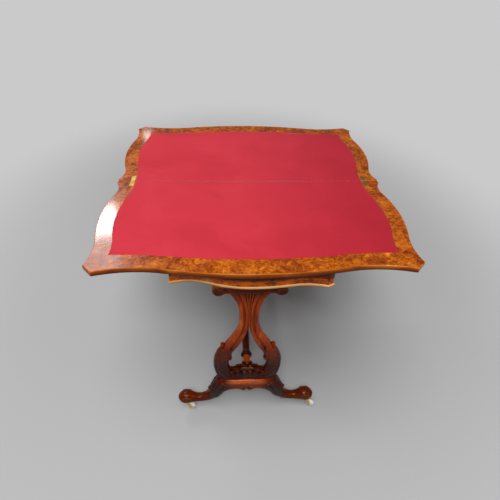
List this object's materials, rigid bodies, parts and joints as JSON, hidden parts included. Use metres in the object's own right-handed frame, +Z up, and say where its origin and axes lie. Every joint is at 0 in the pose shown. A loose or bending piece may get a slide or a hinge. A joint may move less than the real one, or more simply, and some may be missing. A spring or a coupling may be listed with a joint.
{
  "type": "card table",
  "caption": "Serpentine card table: fold-over baize top that swivels on a shallow frieze, two carved lyre end supports on arched feet, turned stretcher, castors.",
  "frame": {"origin": "on the floor, under the middle of the open top", "axes": "+X towards the base's front long side, -Y towards the end seen in the picture, +Z up"},
  "size_m": [0.93, 0.9458, 0.74],
  "materials": {
    "walnut_top": "moulded walnut, polished",
    "burr_veneer": "burr walnut veneer, polished",
    "baize": "felted wool",
    "walnut_frieze": "burr walnut veneer, polished",
    "bead_wood": "pale walnut bead, polished",
    "walnut_carved": "carved walnut, French polished",
    "inner_wood": "plain secondary wood, planed",
    "brass": "worn brass",
    "iron": "blacked iron",
    "china": "glazed white china"
  },
  "bodies": {
    "base": {"bearer_far": "walnut_carved", "bearer_near": "walnut_carved", "bearer_screws": "iron", "castor_sockets": "brass", "corner_blocks": "inner_wood", "cross_rail": "inner_wood", "foot_far": "walnut_carved", "foot_near": "walnut_carved", "frieze_back": "walnut_frieze", "frieze_bead": "bead_wood", "frieze_end_far": "walnut_frieze", "frieze_end_near": "walnut_frieze", "frieze_front": "walnut_frieze", "leaf_cluster_far": "walnut_carved", "leaf_cluster_near": "walnut_carved", "lyre_far_back_arm": "walnut_carved", "lyre_far_front_arm": "walnut_carved", "lyre_far_wedge": "walnut_carved", "lyre_near_back_arm": "walnut_carved", "lyre_near_front_arm": "walnut_carved", "lyre_near_wedge": "walnut_carved", "pivot_board": "inner_wood", "stretcher": "walnut_carved", "well_bottom": "inner_wood"},
    "top": {"lower_leaf": "walnut_top", "lower_border": "burr_veneer", "lower_baize": "baize", "lower_hinge_plates": "brass", "lower_hinge_screws": "brass", "pivot_plate": "iron", "pivot_plate_screws": "iron", "pivot_bolt": "iron", "pivot_washer": "iron", "pivot_nut": "iron", "stop_peg": "inner_wood"},
    "links": {"hinge_links": "brass", "hinge_pins": "brass"},
    "upper": {"upper_leaf": "walnut_top", "upper_border": "burr_veneer", "upper_baize": "baize", "show_veneer": "burr_veneer", "upper_hinge_plates": "brass", "upper_hinge_screws": "brass"},
    "castor_near_back": {"castor_horn_near_back": "brass", "castor_axle_near_back": "iron"},
    "wheel_near_back": {"castor_wheel_near_back": "china"},
    "castor_near_front": {"castor_horn_near_front": "brass", "castor_axle_near_front": "iron"},
    "wheel_near_front": {"castor_wheel_near_front": "china"},
    "castor_far_back": {"castor_horn_far_back": "brass", "castor_axle_far_back": "iron"},
    "wheel_far_back": {"castor_wheel_far_back": "china"},
    "castor_far_front": {"castor_horn_far_front": "brass", "castor_axle_far_front": "iron"},
    "wheel_far_front": {"castor_wheel_far_front": "china"}
  },
  "joints": [
    {"name": "top_swivel", "type": "hinge", "parent": "base", "child": "top", "pos_m": [-0.12199, -0.12199, 0.7197], "axis": [0, 0, 1], "range_deg": [0, 90]},
    {"name": "fold", "type": "hinge", "parent": "top", "child": "upper", "pos_m": [0, 0, 0.74015], "axis": [1, 0, 0], "range_deg": [0, 180]},
    {"name": "link_turn", "type": "hinge", "parent": "top", "child": "links", "pos_m": [0, -0.00215, 0.738], "axis": [1, 0, 0], "range_deg": [0, 90]},
    {"name": "swivel_near_back", "type": "hinge", "parent": "base", "child": "castor_near_back", "pos_m": [-0.244, -0.42, 0.04], "axis": [0, 0, 1], "continuous": true},
    {"name": "roll_near_back", "type": "hinge", "parent": "castor_near_back", "child": "wheel_near_back", "pos_m": [-0.22253, -0.42824, 0.016], "axis": [-0.3584, -0.9336, 0], "continuous": true},
    {"name": "swivel_near_front", "type": "hinge", "parent": "base", "child": "castor_near_front", "pos_m": [0.212, -0.42, 0.04], "axis": [0, 0, 1], "continuous": true},
    {"name": "roll_near_front", "type": "hinge", "parent": "castor_near_front", "child": "wheel_near_front", "pos_m": [0.23107, -0.43286, 0.016], "axis": [-0.5592, -0.829, 0], "continuous": true},
    {"name": "swivel_far_back", "type": "hinge", "parent": "base", "child": "castor_far_back", "pos_m": [-0.244, 0.42, 0.04], "axis": [0, 0, 1], "continuous": true},
    {"name": "roll_far_back", "type": "hinge", "parent": "castor_far_back", "child": "wheel_far_back", "pos_m": [-0.26484, 0.42972, 0.016], "axis": [0.4226, 0.9063, 0], "continuous": true},
    {"name": "swivel_far_front", "type": "hinge", "parent": "base", "child": "castor_far_front", "pos_m": [0.212, 0.42, 0.04], "axis": [0, 0, 1], "continuous": true},
    {"name": "roll_far_front", "type": "hinge", "parent": "castor_far_front", "child": "wheel_far_front", "pos_m": [0.23301, 0.42935, 0.016], "axis": [0.4067, -0.9135, 0], "continuous": true}
  ],
  "couplings": [
    {"joint": "link_turn", "follows": "fold", "ratio": 0.5}
  ]
}
